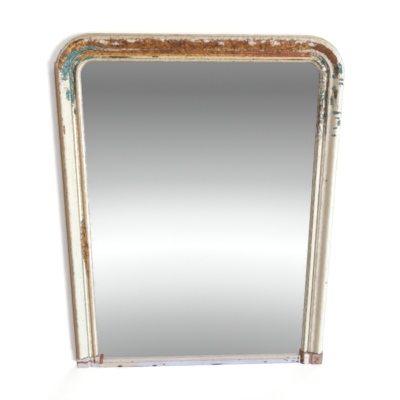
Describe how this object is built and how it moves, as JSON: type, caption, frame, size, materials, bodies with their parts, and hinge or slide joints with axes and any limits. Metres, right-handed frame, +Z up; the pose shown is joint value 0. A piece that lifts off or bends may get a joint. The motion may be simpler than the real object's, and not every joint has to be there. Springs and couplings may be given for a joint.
{
  "type": "wooden wall mirror",
  "caption": "Tall rectangular wall mirror with a moulded, distressed cream wooden frame, rounded top corners, a plain foot rail on base blocks, a boarded back and folding ring hangers.",
  "frame": {"origin": "middle of the bottom edge of the flat back, where the back meets the underside", "axes": "+Z up the height, +X to the right of someone looking at the glass, +Y out of the back towards the wall, so the glass faces -Y"},
  "size_m": [0.95, 0.0541, 1.195],
  "materials": {
    "painted_wood": "old cream oil paint, worn through to brown bole, ochre gilding and turquoise underpaint",
    "raw_pine": "bare aged pine with cream paint on its outer edges",
    "back_pine": "rough sawn aged pine boards",
    "oak": "end grain of riven oak pegs",
    "silvered_glass": "silvered plate glass with slight age at the edges",
    "cut_nail_iron": "rusted wrought iron",
    "hanger_steel": "dulled bright steel wire and strap",
    "screw_brass": "tarnished brass slotted screws"
  },
  "bodies": {
    "frame": {"carcass_left_stile": "raw_pine", "carcass_right_stile": "raw_pine", "carcass_top_rail": "raw_pine", "carcass_bottom_rail": "raw_pine", "carcass_pegs": "oak", "moulding_left": "painted_wood", "moulding_right": "painted_wood", "moulding_top": "painted_wood", "moulding_corner_left": "painted_wood", "moulding_corner_right": "painted_wood", "base_block_left": "painted_wood", "base_block_right": "painted_wood", "foot_rail": "painted_wood", "mirror_glass": "silvered_glass", "glass_wedges": "raw_pine", "back_board_1": "back_pine", "back_board_2": "back_pine", "back_board_3": "back_pine", "back_board_4": "back_pine", "back_board_5": "back_pine", "back_board_6": "back_pine", "back_board_nails": "cut_nail_iron", "hanger_strap_left": "hanger_steel", "hanger_strap_right": "hanger_steel", "hanger_screws_left": "screw_brass", "hanger_screws_right": "screw_brass"},
    "ring_left": {"hanger_ring_left": "hanger_steel"},
    "ring_right": {"hanger_ring_right": "hanger_steel"}
  },
  "joints": [
    {"name": "ring_left_fold", "type": "hinge", "parent": "frame", "child": "ring_left", "pos_m": [-0.4435, 0.0048, 0.98], "axis": [1, 0, 0], "range_deg": [0, 180]},
    {"name": "ring_right_fold", "type": "hinge", "parent": "frame", "child": "ring_right", "pos_m": [0.4435, 0.0048, 0.98], "axis": [1, 0, 0], "range_deg": [0, 180]}
  ]
}
